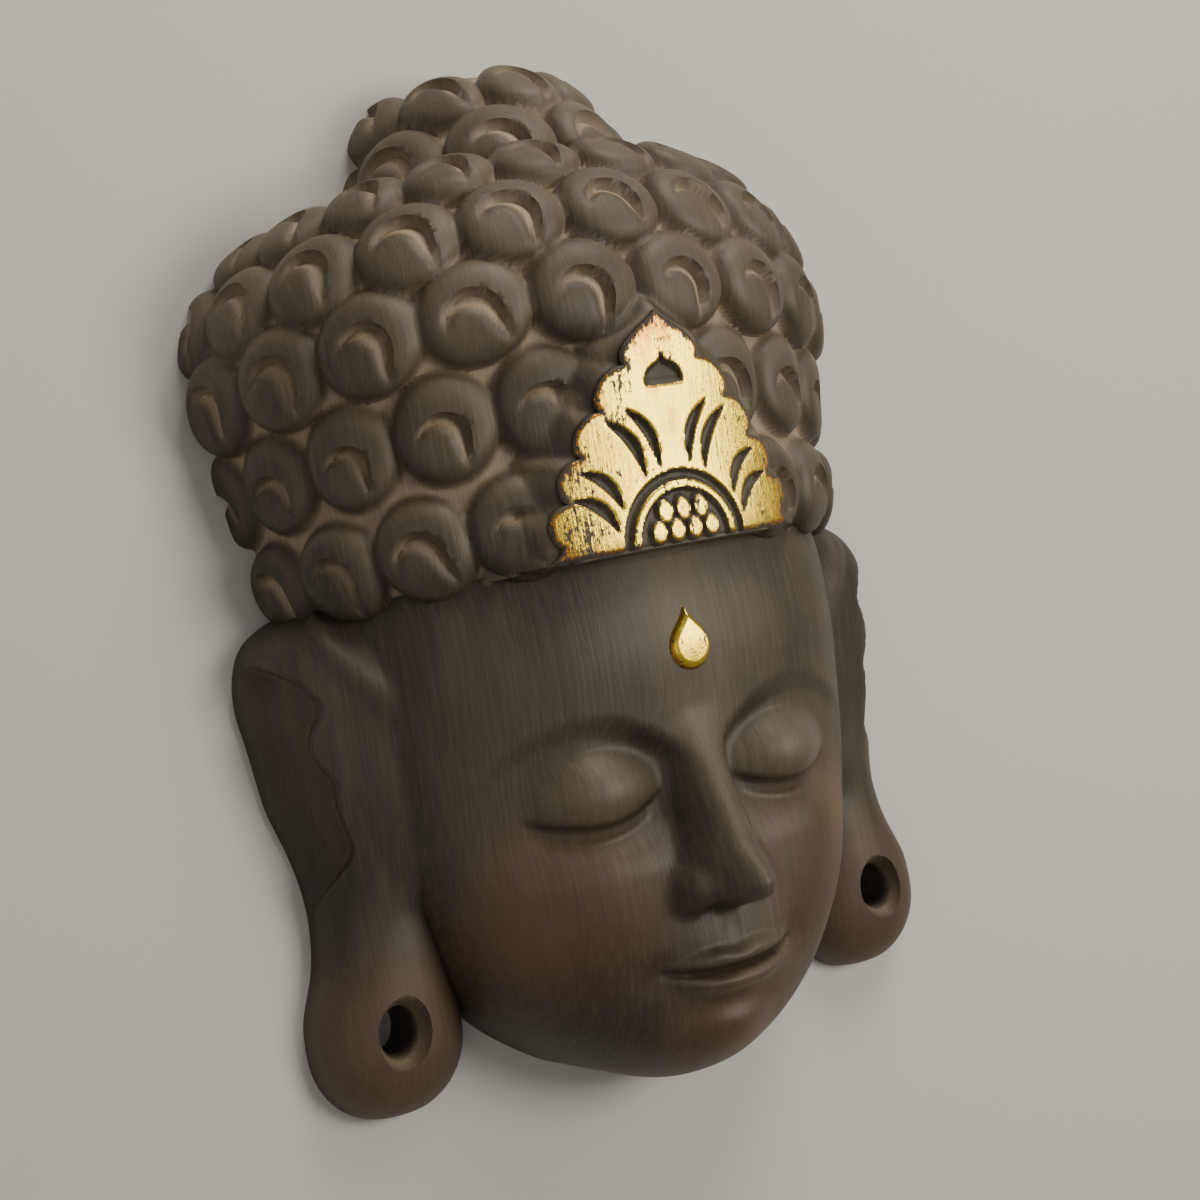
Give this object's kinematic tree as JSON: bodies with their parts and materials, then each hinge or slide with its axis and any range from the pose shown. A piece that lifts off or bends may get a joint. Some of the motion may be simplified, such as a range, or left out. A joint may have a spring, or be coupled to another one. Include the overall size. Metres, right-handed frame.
{
  "type": "carved wooden wall mask",
  "caption": "Dark carved wooden wall mask: a Buddha head with closed eyes, snail curls, a topknot, a gilded crown and brow drop, pierced ear lobes and a hollow back.",
  "frame": {"origin": "middle of the head's outline on the back plane that the mask lies on", "axes": "+Z out of the face, +Y to the top of the head, +X to the figure's left ear"},
  "size_m": [0.2802, 0.4, 0.1107],
  "materials": {
    "stained_wood": "dark stained and waxed, satin, with paler wash in the hollows",
    "gold_leaf": "worn gold leaf on carved wood"
  },
  "bodies": {
    "root": {"carved_mask": "stained_wood"}
  },
  "joints": []
}
